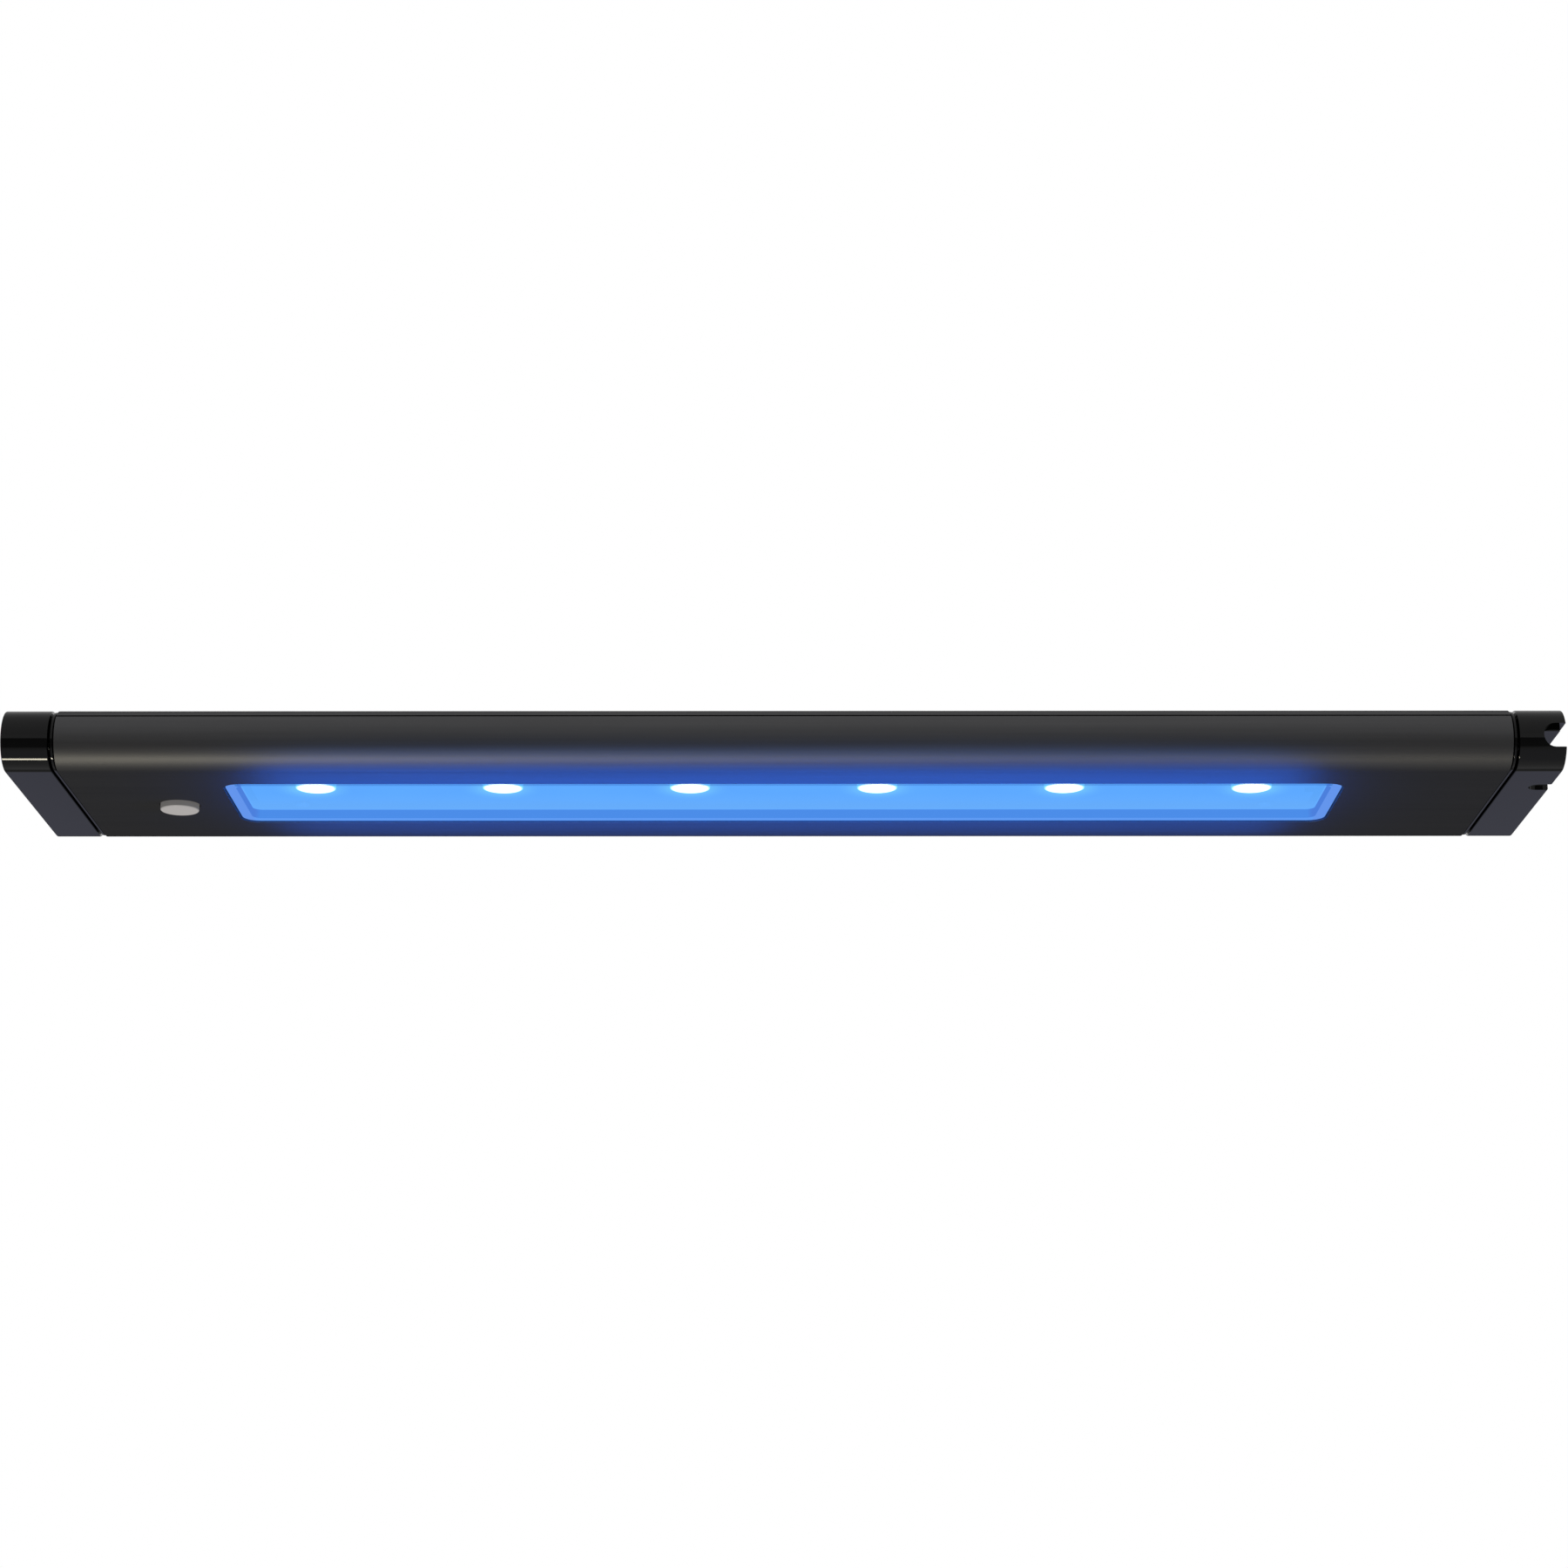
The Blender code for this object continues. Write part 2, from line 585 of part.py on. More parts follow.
def thermal_pad():
    """Soft pad between the LED board and the heat block."""
    return box("thermal_pad", (-PAD_HALF[0], -PAD_HALF[1], PAD[0]), (*PAD_HALF, PAD[1]), pad_grey())


# ---------------------------------------------------------------- button and switch

def power_button():
    """Round button that stands out of the underside, with an inner flange and a stem."""
    flange_radius, flange_low, flange_high = BUTTON_FLANGE
    stem_radius, stem_top = BUTTON_STEM
    profile = [(0.0, stem_top), (stem_radius, stem_top), (stem_radius, flange_high)]
    profile += [(flange_radius, flange_high), (flange_radius, flange_low), (BUTTON_RADIUS, flange_low)]
    profile.append((BUTTON_RADIUS, BUTTON_CHAMFER - BUTTON_PROUD))
    profile += [(BUTTON_RADIUS - BUTTON_CHAMFER, -BUTTON_PROUD), (0.0, -BUTTON_PROUD)]
    centre = (BUTTON_X, 0.0, 0.0)
    return turned("power_button", profile, centre, steps=48, paint=button_grey(), owner=button_empty)


def button_seal():
    """Silicone sleeve over the button's flange."""
    stem, inner, outer = SEAL_RADII
    low, lip, high = SEAL_HEIGHTS
    profile = [(stem, high), (outer, high), (outer, low), (inner, low), (inner, lip), (stem, lip)]
    return turned("button_seal", profile, (BUTTON_X, 0.0, 0.0), steps=32, closed=True, paint=silicone())


def tact_switch():
    """Push switch under the control board: a fixed body and a sliding plunger."""
    half = SWITCH_SIZE / 2
    low = (BUTTON_X - half, -half, SWITCH[0])
    body = box("tact_switch_body", low, (BUTTON_X + half, half, SWITCH[1]), chip_black())
    bore_radius, bore_top = SWITCH_BORE
    bore_low = SWITCH[0] - CUT_MARGIN
    centre = (BUTTON_X, 0.0, (bore_low + bore_top) / 2)
    combine(body, cylinder("switch_bore", bore_radius, bore_top - bore_low, centre))
    radius, low, high = PLUNGER
    centre = (BUTTON_X, 0.0, (low + high) / 2)
    cylinder("tact_switch_plunger", radius, high - low, centre, paint=button_grey(), owner=button_empty)


# ---------------------------------------------------------------- boards and wiring

def board_screw_places():
    """Two screws for each end board."""
    return [(sx * BOARD_SCREW_X, sy * BOARD_SCREW_Y) for sx in (-1, 1) for sy in (-1, 1)]


def end_board(name, side):
    """Circuit board hung under the top plate at one end."""
    low, high = sorted(side * x for x in BOARD_LIMITS_X)
    shape = box(name, (low, -BOARD_HALF_WIDTH, BOARD[0]), (high, BOARD_HALF_WIDTH, BOARD[1]), board_green())
    for row, y in (("front", -BOARD_SCREW_Y), ("rear", BOARD_SCREW_Y)):
        radius = BOARD_SCREW[2] + SCREW_CLEARANCE
        centre = (side * BOARD_SCREW_X, y, sum(BOARD) / 2)
        combine(shape, cylinder("%s_hole_%s" % (name, row), radius, BOARD_DRILL, centre, sides=12))
    return shape


def component(name, centre, size, paint):
    """A boxed component under a board; size is its X, Y and height."""
    half = [value / 2 for value in size[:2]]
    low = (centre[0] - half[0], centre[1] - half[1], COMPONENT_TOP - size[2])
    return box(name, low, (centre[0] + half[0], centre[1] + half[1], COMPONENT_TOP), paint)


def board_components():
    """Controller chip at the button's end, power parts at the inlet's end."""
    component("control_chip", *CONTROL_CHIP, chip_black())
    component("driver_chip", *DRIVER_CHIP, chip_black())
    coil = component("driver_inductor", *INDUCTOR, chip_black())
    round_edges(coil, INDUCTOR_ROUNDING)
    radius, height = CAPACITOR
    for i, (x, y) in enumerate(CAPACITORS_XY):
        centre = (x, y, COMPONENT_TOP - height / 2)
        cylinder("driver_capacitor_%d" % (i + 1), radius, height, centre, paint=capacitor_silver())


def power_inlet():
    """Round socket on a block, with a seal and a centre pin."""
    half_y, half_z = INLET_HALF
    low = (INLET_BODY_X[0], OUTLET_Y - half_y, OUTLET_HEIGHT - half_z)
    high = (INLET_BODY_X[1], OUTLET_Y + half_y, OUTLET_HEIGHT + half_z)
    body = box("power_inlet", low, high, chip_black())
    radius, mouth = INLET_BARREL
    root = INLET_BODY_X[1] - CUT_MARGIN
    barrel_centre = ((mouth + root) / 2, OUTLET_Y, OUTLET_HEIGHT)
    combine(body, cylinder("inlet_barrel", radius, mouth - root, barrel_centre, "X"), "UNION")
    bore_centre = (mouth, OUTLET_Y, OUTLET_HEIGHT)
    combine(body, cylinder("inlet_bore", INLET_BORE, 2 * (mouth - root), bore_centre, "X", 16))
    tail_centre = (INLET_BODY_X[0], OUTLET_Y, OUTLET_HEIGHT)
    tail_length = 2 * (INLET_BODY_X[1] - INLET_BODY_X[0] + CUT_MARGIN)
    combine(body, cylinder("inlet_tail_bore", INLET_TAIL_BORE, tail_length, tail_centre, "X", 12))
    pin_radius, low_x, high_x = INLET_PIN
    pin_centre = ((low_x + high_x) / 2, OUTLET_Y, OUTLET_HEIGHT)
    cylinder("inlet_pin", pin_radius, high_x - low_x, pin_centre, "X", 12, contact_metal())
    inner, outer, start, end = INLET_SEAL
    ring = [(inner, end - start), (outer, end - start), (outer, 0.0), (inner, 0.0)]
    turned("inlet_seal", ring, (start, OUTLET_Y, OUTLET_HEIGHT), "X", 24, True, silicone())


def screw(name, seat, along, size, paint):
    """Crosshead screw seated at a point, its head towards the named axis."""
    head_radius, head_height, shank_radius, shank_length = size
    profile = [(0.0, head_height), (0.7 * head_radius, head_height), (head_radius, 0.6 * head_height)]
    profile += [(head_radius, 0.0), (shank_radius, 0.0), (shank_radius, SCREW_TIP - shank_length)]
    profile += [(0.5 * shank_radius, -shank_length), (0.0, -shank_length)]
    shape = turned(name, profile, seat, along, 12, paint=paint)
    reach = 1.1 * head_radius
    depth = 0.3 * head_height
    for direction, (x, y) in (("long", (reach, SCREW_SLOT)), ("cross", (SCREW_SLOT, reach))):
        cross = box("%s_%s" % (name, direction), (-x / 2, -y / 2, -depth), (x / 2, y / 2, depth))
        cross.parent = shape
        cross.location = (0.0, 0.0, head_height)
        combine(shape, cross)
    return shape


def screws():
    """Every screw, with its head a clearance above its seat."""
    y, z = CAP_SCREW_YZ
    ends = [("left_front", -1, -y, CAP_SCREW_SEAT), ("left_rear", -1, y, CAP_SCREW_SEAT),
            ("right_front", 1, -y, CAP_SCREW_SEAT_DEEP), ("right_rear", 1, y, CAP_SCREW_SEAT)]
    for place_name, side, screw_y, seat in ends:
        along = "X" if side > 0 else "-X"
        screw("end_cap_screw_" + place_name, (side * (seat + GAP), screw_y, z), along, CAP_SCREW, steel())
    for i, (x, y) in enumerate(led_screw_places()):
        screw("led_board_screw_%d" % (i + 1), (x, y, LED_BOARD[0] - GAP), "-Z", LED_SCREW, steel())
    for i, (x, y) in enumerate(board_screw_places()):
        board = "control_board" if x < 0 else "driver_board"
        screw("%s_screw_%d" % (board, i % 2 + 1), (x, y, BOARD[0] - GAP), "-Z", BOARD_SCREW, steel())


def wire(name, points, colour_name):
    """Insulated lead through a few points, given in millimetres."""
    curve = bpy.data.curves.new(name, "CURVE")
    curve.dimensions = "3D"
    curve.bevel_depth = WIRE_RADIUS
    curve.bevel_resolution = 2
    curve.use_fill_caps = True
    spline = curve.splines.new("POLY")
    spline.points.add(len(points) - 1)
    for point, (x, y, z) in zip(spline.points, points):
        point.co = (x * MM, y * MM, z * MM, 1.0)
    lead = bpy.data.objects.new(name, curve)
    curve.materials.append(wire_skin(colour_name))
    parts.objects.link(lead)
    lead.parent = frame_empty
    return lead


def leads():
    """Leads inside the bar: to the LED board, along the front channel and from the inlet."""
    for i, colour_name in enumerate(("red", "black")):
        y = LED_LEADS_Y[i]
        wire("led_lead_%d" % (i + 1), [(x, y, z) for x, z in LED_LEAD_ROUTE], colour_name)
    for i, colour_name in enumerate(("white", "black")):
        y = SWITCH_LEADS_Y[i]
        right = [(x, y + beside, z) for x, beside, z in SWITCH_LEAD_ROUTE]
        left = [(-x, py, z) for x, py, z in right]
        wire("switch_lead_%d" % (i + 1), left + right[::-1], colour_name)
    for i, colour_name in enumerate(("red", "black")):
        y = INLET_LEADS_Y[i]
        wire("inlet_lead_%d" % (i + 1), [(x, y, z) for x, z in INLET_LEAD_ROUTE], colour_name)


# ---------------------------------------------------------------- assembly

def clear_scene():
    """Remove what the scene held before."""
    for old in list(bpy.data.objects):
        bpy.data.objects.remove(old, do_unlink=True)


def new_collection(name):
    """A collection in the scene."""
    group = bpy.data.collections.new(name)
    bpy.context.scene.collection.children.link(group)
    return group


def new_empty(name, location):
    """An empty that places what it carries."""
    empty = bpy.data.objects.new(name, None)
    empty.location = location
    empty.empty_display_size = 5 * MM
    parts.objects.link(empty)
    return empty


def main():
    """Build the whole light."""
    global parts, cutters, frame_empty, button_empty
    clear_scene()
    parts = new_collection("led_aquarium_light")
    cutters = new_collection("cutters")
    frame_empty = new_empty("resting_plane_centre", (0.0, 0.0, 0.0))
    button_empty = new_empty("button_press_axis", (BUTTON_X, 0.0, 0.0))

    lower_housing()
    top_plate()
    left_end_cap()
    right_end_cap()
    trim_ring("left_trim_ring", -1)
    trim_ring("right_trim_ring", 1)

    window_lens()
    lens_gasket()
    led_board()
    led_emitters()
    thermal_pad()

    power_button()
    button_seal()
    tact_switch()

    end_board("control_board", -1)
    end_board("driver_board", 1)
    board_components()
    power_inlet()
    screws()
    leads()


main()
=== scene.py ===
import json
import math

import bmesh
import bpy
from mathutils import Matrix, Vector


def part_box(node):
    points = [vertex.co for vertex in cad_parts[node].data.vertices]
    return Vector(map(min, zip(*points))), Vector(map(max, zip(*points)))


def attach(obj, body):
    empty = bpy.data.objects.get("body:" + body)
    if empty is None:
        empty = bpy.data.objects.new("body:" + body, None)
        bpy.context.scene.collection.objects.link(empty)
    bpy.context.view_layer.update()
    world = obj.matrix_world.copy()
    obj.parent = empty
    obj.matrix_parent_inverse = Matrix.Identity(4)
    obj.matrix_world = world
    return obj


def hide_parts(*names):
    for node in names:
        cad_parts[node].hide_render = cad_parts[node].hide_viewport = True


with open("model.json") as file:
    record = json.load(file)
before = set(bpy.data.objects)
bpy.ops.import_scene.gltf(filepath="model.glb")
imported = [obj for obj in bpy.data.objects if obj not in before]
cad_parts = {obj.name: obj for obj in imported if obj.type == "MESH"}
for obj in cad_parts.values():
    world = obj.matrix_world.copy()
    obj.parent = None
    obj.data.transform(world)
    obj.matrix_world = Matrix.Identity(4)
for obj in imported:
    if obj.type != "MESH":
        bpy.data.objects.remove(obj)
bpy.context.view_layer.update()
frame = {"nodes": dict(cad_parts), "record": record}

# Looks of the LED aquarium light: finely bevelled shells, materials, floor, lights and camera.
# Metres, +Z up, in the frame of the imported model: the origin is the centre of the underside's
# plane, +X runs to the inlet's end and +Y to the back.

MM = 0.001

# Camera: below and in front of the light, looking up at its underside
CAMERA_PLACE = (1.415 * MM, -684.30 * MM, -183.64 * MM)
CAMERA_PITCH = 15.365
CAMERA_YAW = 0.111
CAMERA_LENS = 80.0
CAMERA_SENSOR = 36.0

# Studio
FLOOR_HEIGHT = -0.9
FLOOR_SIZE = 8.0
FLOOR_COLOUR = (0.80, 0.80, 0.79)
OVERHEAD_PLACE = (0.0, -0.6, 1.8)
OVERHEAD_SIZE = (2.4, 2.4)
OVERHEAD_RADIANCE = 0.9
LAMP_DISTANCE = 0.8
LAMP_DIRECTION = (-0.214, -0.150, -0.965)
LAMP_SIZE = (0.34, 0.080)
LAMP_RADIANCE = 19.5
LAMP_WARM = (1.0, 0.935, 0.74)
FILL_LENGTH = 0.72
FILL_OFFSET = 0.18
FILL_RADIANCE = 3.5

# The window's own light on the metal: lights under it, each with its (front, back) and radiance
SPILL_BLUE = (0.02, 0.17, 1.0)
SPILL_HALF_LENGTH = 102.5 * MM
SPILL_DROP = 6.5 * MM
SPILLS = (("spill_front", (-27.0 * MM, 4.0 * MM), 14.5),
          ("spill_rear", (4.0 * MM, 22.5 * MM), 7.0))

# Its haze on the front edge: one more light, below and in front of that edge
HAZE_BLUE = (0.04, 0.27, 1.0)
HAZE_RADIANCE = 1.1
HAZE_WIDTH = 16.0 * MM
HAZE_FORWARD = 10.0 * MM
HAZE_DROP = 16.0 * MM
HAZE_AIM_BACK = 2.0 * MM
HAZE_AIM_HEIGHT = 4.0 * MM

# Light engine
LED_PITCH = 38.1 * MM
LED_GLOW = 20.0
LED_FADE = (3.2 * MM, 4.1 * MM)  # radii between which an LED's light fades
LED_EDGE = (0.03, 0.14, 0.20)

# Profile of an LED, as shares of its radius or of its height
LED_SHOULDER_TOP = 0.22
LED_SHOULDER_DROP = 0.12
LED_SHOULDER_WIDTH = 0.06
LED_DOME_RADIUS = 0.90
LED_DOME_FOOT = 0.12
LED_DOME_SAG = 0.08
LED_SHOULDER_STEPS = 4
LED_DOME_STEPS = 8

# Lens
PANE_HEIGHT = 2.3 * MM
HALO_OFFSET = 3.5 * MM  # the halo on the pane lies forward of each LED
HALO_RADII = (3.6 * MM, 8.5 * MM)
CLEARNESS = 0.28  # how much of the pane shows what lies behind it
RIM_CLEARNESS = 0.80  # the same for the near rim and its wall, which the LEDs show through
RIM_NEAR = -13.2 * MM
RIM_END = 109.5 * MM
# The lens's glow is painted light: the pane grows brighter towards the back and has a painted halo
# around each LED.
PANE_BLUE = (0.116, 0.410, 1.02)
PANE_FAR_LIT_BLUE = (0.150, 0.455, 1.04)
HALO_CYAN = (0.18, 0.58, 1.0)
# Painted light and shade: the recess walls and the rim glow lighter or darker by side.
FAR_WALL_LIT_BLUE = (0.073, 0.265, 0.80)
END_WALL_SHADED_BLUE = (0.074, 0.215, 0.71)
# painted highlight line where the recess walls meet the pane
EDGE_HIGHLIGHT_BLUE = (0.130, 0.420, 1.0)
RIM_FAR_LIT_BLUE = (0.115, 0.330, 0.90)
RIM_END_LIT_BLUE = (0.128, 0.302, 0.84)
RIM_NEAR_SHADED_BLUE = (0.010, 0.040, 0.30)

# Painted light on the button: a faint warm glow, brighter on the face than on the sides.
BUTTON_FACE_PAINTED_LIGHT = (0.375, 0.355, 0.340)
BUTTON_SIDE_PAINTED_LIGHT = (0.100, 0.095, 0.090)

# Meshes
ROUND_STEPS = 96
SHELL_WELD = 2e-6
FLAT_DEGREES = 0.4  # faces that meet at less than this are one face
BEVEL_DEGREES = 35.0
SHARP_DEGREES = 30.0
NORMAL_WEIGHT = 60

FINE_RELIEF = 0.02 * MM  # how far most finishes' bumps stand out
WHITE = (1.0, 1.0, 1.0)

# Studio walls, from straight down (0) through the horizon (0.5) to straight up (1).
# Each stop is a height, a grey level and how blue it is.
FRONT_WALL = ((0.0, 0.27, 0.05), (0.12, 0.27, 0.05), (0.19, 0.22, 0.0), (0.24, 0.07, 0.0),
              (0.48, 0.055, 0.0), (0.498, 0.055, 0.0), (0.503, 0.31, 0.0), (0.65, 0.28, 0.0),
              (1.0, 0.34, 0.0))
BACK_WALL = ((0.0, 0.30, 0.0), (0.12, 0.36, 0.0), (0.20, 0.10, 0.0), (0.29, 0.10, 0.0),
             (0.34, 0.18, 0.22), (0.40, 0.18, 0.22), (0.44, 0.06, 0.0), (0.49, 0.06, 0.0),
             (0.52, 0.55, 0.0), (0.64, 0.90, 0.0), (0.80, 0.60, 0.0), (1.0, 0.34, 0.0))
SOFT_LIGHT = ((0.0, 0.06, 0.0), (0.35, 0.10, 0.0), (0.5, 0.36, 0.0), (0.7, 0.44, 0.0),
              (1.0, 0.42, 0.0))
WALL_TURN = (-0.08, 0.12)  # the front wall turns into the back wall between these


# ---------------------------------------------------------------- node tools

class Paint:
    """A material's node tree, with short calls for the nodes that the materials share."""

    def __init__(self, name):
        self.material = bpy.data.materials.new(name)
        self.material.use_nodes = True
        self.tree = self.material.node_tree
        self.shader = self.tree.nodes["Principled BSDF"]
        self.output = self.tree.nodes["Material Output"]

    def node(self, kind, **settings):
        made = self.tree.nodes.new(kind)
        for key, value in settings.items():
            setattr(made, key, value)
        return made

    def link(self, source, target):
        self.tree.links.new(source, target)

    def set(self, **values):
        """Set constants on the Principled shader; underscores stand for spaces."""
        for key, value in values.items():
            self.shader.inputs[key.replace("_", " ")].default_value = value

    def parts(self, source):
        """The x, y and z of the texture coordinate called source."""
        place = self.node("ShaderNodeTexCoord")
        split = self.node("ShaderNodeSeparateXYZ")
        self.link(place.outputs[source], split.inputs[0])
        return split.outputs

    def coordinates(self, scale=(1.0, 1.0, 1.0)):
        """Object coordinates, stretched."""
        place = self.node("ShaderNodeTexCoord")
        mapping = self.node("ShaderNodeMapping")
        mapping.inputs["Scale"].default_value = scale
        self.link(place.outputs["Object"], mapping.inputs["Vector"])
        return mapping.outputs["Vector"]

    def noise(self, scale, detail=4.0, stretch=(1.0, 1.0, 1.0), roughness=0.55):
        """A noise value from 0 to 1; scale is in cycles per metre."""
        texture = self.node("ShaderNodeTexNoise")
        texture.inputs["Scale"].default_value = scale
        texture.inputs["Detail"].default_value = detail
        texture.inputs["Roughness"].default_value = roughness
        self.link(self.coordinates(stretch), texture.inputs["Vector"])
        return texture.outputs["Fac"]

    def span(self, value, low, high, start=0.3, end=0.7):
        """Remap a value between two numbers."""
        remap = self.node("ShaderNodeMapRange")
        remap.inputs["From Min"].default_value = start
        remap.inputs["From Max"].default_value = end
        remap.inputs["To Min"].default_value = low
        remap.inputs["To Max"].default_value = high
        self.link(value, remap.inputs["Value"])
        return remap.outputs["Result"]

    def blend(self, factor, first, second):
        """Mix two colours; each is a socket or an RGB tuple."""
        mix = self.node("ShaderNodeMix", data_type="RGBA")
        self.link(factor, mix.inputs["Factor"])
        for socket, value in ((mix.inputs[6], first), (mix.inputs[7], second)):
            if isinstance(value, tuple):
                socket.default_value = (*value, 1.0)
            else:
                self.link(value, socket)
        return mix.outputs[2]

    def math(self, operation, first, second=None):
        """A math node on sockets or numbers."""
        made = self.node("ShaderNodeMath", operation=operation)
        for socket, value in zip(made.inputs, (first, second)):
            if isinstance(value, (int, float)):
                socket.default_value = value
            elif value is not None:
                self.link(value, socket)
        return made.outputs[0]

    def times(self, first, second):
        """The product of two sockets or numbers."""
        return self.math("MULTIPLY", first, second)

    def length(self, first, second):
        """The length of a vector of two sockets."""
        squares = self.math("ADD", self.times(first, first), self.times(second, second))
        return self.math("SQRT", squares)

    def bump(self, height, strength, distance=FINE_RELIEF):
        """Bump the surface by a height value."""
        made = self.node("ShaderNodeBump")
        made.inputs["Strength"].default_value = strength
        made.inputs["Distance"].default_value = distance
        self.link(height, made.inputs["Height"])
        self.link(made.outputs["Normal"], self.shader.inputs["Normal"])

    def colour(self, value):
        self.link(value, self.shader.inputs["Base Color"])

    def cloudy(self, value, low, high):
        """Colour the surface from low to high by a noise value."""
        self.colour(self.blend(self.span(value, 0.0, 1.0), low, high))

    def rough(self, value):
        self.link(value, self.shader.inputs["Roughness"])

    def glow(self, value, strength=1.0):
        self.link(value, self.shader.inputs["Emission Color"])
        self.set(Emission_Strength=strength)


# ---------------------------------------------------------------- materials

def anodised_black():
    """Satin black anodised extrusion: faint lengthwise drawing lines under a fine blasted grain."""
    paint = Paint("look_anodised_black")
    paint.set(Metallic=0.68, IOR=1.45)
    paint.set(Specular_IOR_Level=0.42, Specular_Tint=(0.25, 0.25, 0.25, 1.0))
    lines = paint.noise(900.0, 5.0, (0.02, 1.0, 1.0))
    grain = paint.noise(9000.0, 2.0)
    paint.cloudy(lines, (0.122, 0.122, 0.125), (0.138, 0.138, 0.141))
    both = paint.math("ADD", paint.times(lines, 0.5), paint.times(grain, 0.5))
    paint.rough(paint.span(both, 0.47, 0.53))
    paint.bump(grain, 0.10)
    return paint.material


def gloss_black():
    """High-gloss black moulding with the slightest orange peel."""
    paint = Paint("look_gloss_black")
    paint.set(Metallic=0.0, IOR=1.5)
    cloud = paint.noise(160.0, 3.0)
    peel = paint.noise(700.0, 2.0)
    paint.cloudy(cloud, (0.0026, 0.0025, 0.0027), (0.0036, 0.0035, 0.0037))
    paint.rough(paint.span(cloud, 0.04, 0.06))
    paint.bump(peel, 0.012)
    return paint.material


def lit_lens():
    """Clear acrylic lit blue from inside, its light and shade painted on: a pane with painted
    halos, recess walls, and a rim painted lighter or darker by side.
    """
    paint = Paint("look_lit_lens")
    x, y, z = paint.parts("Object")
    normal = paint.parts("Normal")
    down = paint.times(normal[2], -1.0)
    far_out = paint.math("ABSOLUTE", x)

    # the pane's painted glow, brighter towards the back, with a painted halo around the nearest LED
    offset = paint.math("FRACT", paint.math("DIVIDE", x, LED_PITCH))
    along = paint.times(paint.math("SUBTRACT", offset, 0.5), LED_PITCH)
    across = paint.math("ADD", y, HALO_OFFSET)
    halo = paint.span(paint.length(along, across), 1.0, 0.0, *HALO_RADII)
    halo = paint.times(halo, halo)
    cloud = paint.span(paint.noise(60.0, 2.0), 0.0, 1.0)
    pane = paint.blend(cloud, PANE_BLUE, tuple(1.04 * value for value in PANE_BLUE))
    pane = paint.blend(paint.span(y, 0.0, 1.0, 0.0, 12.0 * MM), pane, PANE_FAR_LIT_BLUE)
    pane = paint.blend(halo, pane, HALO_CYAN)

    # the rim and the recess walls, painted lighter or darker by side, with a painted highlight line
    # where they meet the pane
    at_end = paint.span(far_out, 0.0, 1.0, RIM_END - 0.3 * MM, RIM_END + 0.1 * MM)
    at_near = paint.span(y, 1.0, 0.0, RIM_NEAR - 0.4 * MM, RIM_NEAR)
    rim = paint.blend(at_near, RIM_FAR_LIT_BLUE, RIM_NEAR_SHADED_BLUE)
    rim = paint.blend(at_end, rim, RIM_END_LIT_BLUE)
    sideways = paint.math("ABSOLUTE", normal[0])
    wall = paint.blend(paint.span(sideways, 0.0, 1.0, 0.3, 0.8), FAR_WALL_LIT_BLUE, END_WALL_SHADED_BLUE)
    # painted highlight: a brighter line where the recess walls meet the pane
    turned_down = paint.span(down, 0.0, 1.0, 0.25, 0.55)
    by_pane = paint.span(z, 0.0, 1.0, PANE_HEIGHT - 0.5 * MM, PANE_HEIGHT - 0.2 * MM)
    wall = paint.blend(paint.times(turned_down, by_pane), wall, EDGE_HIGHLIGHT_BLUE)

    is_pane = paint.span(z, 0.0, 1.0, PANE_HEIGHT - 0.15 * MM, PANE_HEIGHT - 0.05 * MM)
    is_flat = paint.span(down, 0.0, 1.0, 0.88, 0.97)
    paint.glow(paint.blend(is_flat, wall, paint.blend(is_pane, rim, pane)))
    paint.set(Base_Color=(0.0, 0.006, 0.02, 1.0), Roughness=0.12)
    paint.set(IOR=1.49, Specular_IOR_Level=0.0)

    # the pane lets some light through, and the near rim with its wall most of it
    clear = paint.node("ShaderNodeBsdfTransparent")
    mix = paint.node("ShaderNodeMixShader")
    through_pane = paint.times(paint.times(is_pane, is_flat), CLEARNESS)
    before_end = paint.math("SUBTRACT", 1.0, at_end)
    through_rim = paint.times(paint.times(at_near, before_end), RIM_CLEARNESS)
    paint.link(paint.math("MAXIMUM", through_pane, through_rim), mix.inputs[0])
    paint.link(paint.shader.outputs[0], mix.inputs[1])
    paint.link(clear.outputs[0], mix.inputs[2])
    paint.link(mix.outputs[0], paint.output.inputs["Surface"])
    return paint.material


def lit_led():
    """A lit phosphor disc: white, fading to cyan at its edge."""
    paint = Paint("look_lit_led")
    place = paint.parts("Object")
    edge = paint.span(paint.length(place[0], place[1]), 0.0, 1.0, *LED_FADE)
    grain = paint.span(paint.noise(3000.0, 2.0), 0.0, 1.0)
    core = paint.blend(grain, (0.96, 0.99, 1.0), WHITE)
    paint.glow(paint.blend(edge, core, LED_EDGE), LED_GLOW)
    paint.set(Base_Color=(0.8, 0.8, 0.7, 1.0), Roughness=0.3)
    return paint.material


def frosted_button():
    """Light grey frosted moulding with painted light: a faint warm glow, brighter on its face than
    on its sides.
    """
    paint = Paint("look_frosted_button")
    cloud = paint.noise(500.0, 3.0)
    grain = paint.noise(9000.0, 2.0)
    paint.cloudy(cloud, (0.27, 0.27, 0.28), (0.31, 0.31, 0.32))
    paint.rough(paint.span(grain, 0.38, 0.52))
    # painted light: the face, turned down towards the lamp, glows brighter than the sides
    down = paint.times(paint.parts("Normal")[2], -1.0)
    face = paint.span(down, 0.0, 1.0, 0.2, 0.95)
    paint.glow(paint.blend(face, BUTTON_SIDE_PAINTED_LIGHT, BUTTON_FACE_PAINTED_LIGHT))
    paint.bump(grain, 0.12)
    return paint.material


